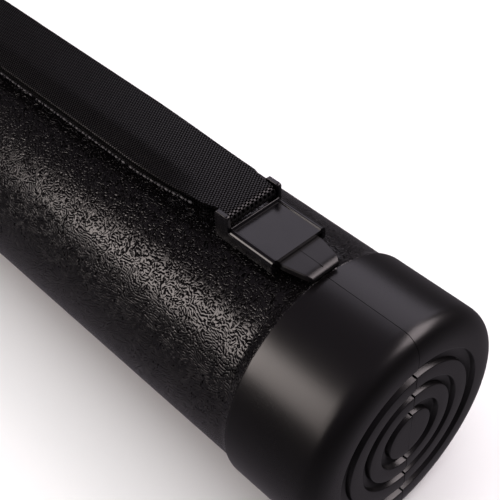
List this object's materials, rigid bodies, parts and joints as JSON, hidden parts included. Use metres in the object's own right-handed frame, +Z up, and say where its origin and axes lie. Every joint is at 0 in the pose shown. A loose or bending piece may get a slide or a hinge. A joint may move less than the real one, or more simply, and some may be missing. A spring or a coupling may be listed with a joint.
{
  "type": "telescoping portfolio tube",
  "caption": "Round black moulded tube for rolled drawings: two halves slide and twist on a ribbed inner tube, with smooth end boots, and a webbing shoulder strap clipped to a lug at each end",
  "frame": {"origin": "centre of the bounding box's bottom, where the closed tube rests, below the meeting line of the two halves", "axes": "+X along the tube towards the upper half's end, +Z up through the strap and its lugs, +Y to the left looking along +X"},
  "size_m": [0.622, 0.1034, 0.1176],
  "materials": {
    "moulded_plastic": "black blow-moulded polyethylene, leather grain on the body, satin smooth on the boots and collars",
    "sleeve_plastic": "black moulded polyethylene, smooth",
    "ring_plastic": "black moulded plastic, smooth",
    "hardware_plastic": "black injection-moulded plastic, satin",
    "webbing": "black woven polypropylene webbing",
    "thread": "black polyester thread"
  },
  "bodies": {
    "base_half": {"base_tube": "moulded_plastic", "webbing_base_top": "webbing", "webbing_base_return": "webbing"},
    "base_ring": {"base_guide_ring": "ring_plastic"},
    "inner": {"inner_tube": "sleeve_plastic"},
    "upper_ring": {"upper_guide_ring": "ring_plastic"},
    "upper_half": {"upper_tube": "moulded_plastic", "webbing_upper_top": "webbing", "webbing_upper_return": "webbing"},
    "base_clip_body": {"base_clip": "hardware_plastic", "webbing_base_fold": "webbing"},
    "upper_clip_body": {"upper_clip": "hardware_plastic", "webbing_upper_end": "webbing", "bartack_end_1": "thread", "bartack_end_2": "thread"},
    "glide": {"tri_glide": "hardware_plastic", "webbing_glide_loop": "webbing", "bartack_glide_1": "thread", "bartack_glide_2": "thread"}
  },
  "joints": [
    {"name": "base_twist", "type": "hinge", "parent": "base_half", "child": "base_ring", "pos_m": [-0.0133, 0, 0.05175], "axis": [1, 0, 0], "range_deg": [0, 90]},
    {"name": "base_slide", "type": "slide", "parent": "base_ring", "child": "inner", "axis": [1, 0, 0], "range_m": [0, 0.2]},
    {"name": "upper_slide", "type": "slide", "parent": "inner", "child": "upper_ring", "axis": [1, 0, 0], "range_m": [0, 0.3]},
    {"name": "upper_twist", "type": "hinge", "parent": "upper_ring", "child": "upper_half", "pos_m": [0.0133, 0, 0.05175], "axis": [1, 0, 0], "range_deg": [0, 90]},
    {"name": "base_clip_slide", "type": "slide", "parent": "base_half", "child": "base_clip_body", "axis": [-1, 0, 0], "range_m": [0, 0.045]},
    {"name": "upper_clip_slide", "type": "slide", "parent": "upper_half", "child": "upper_clip_body", "axis": [1, 0, 0], "range_m": [0, 0.045]},
    {"name": "glide_slide", "type": "slide", "parent": "upper_half", "child": "glide", "axis": [-1, 0, 0], "range_m": [0, 0.04], "deforming": ["webbing_upper_return"]}
  ]
}
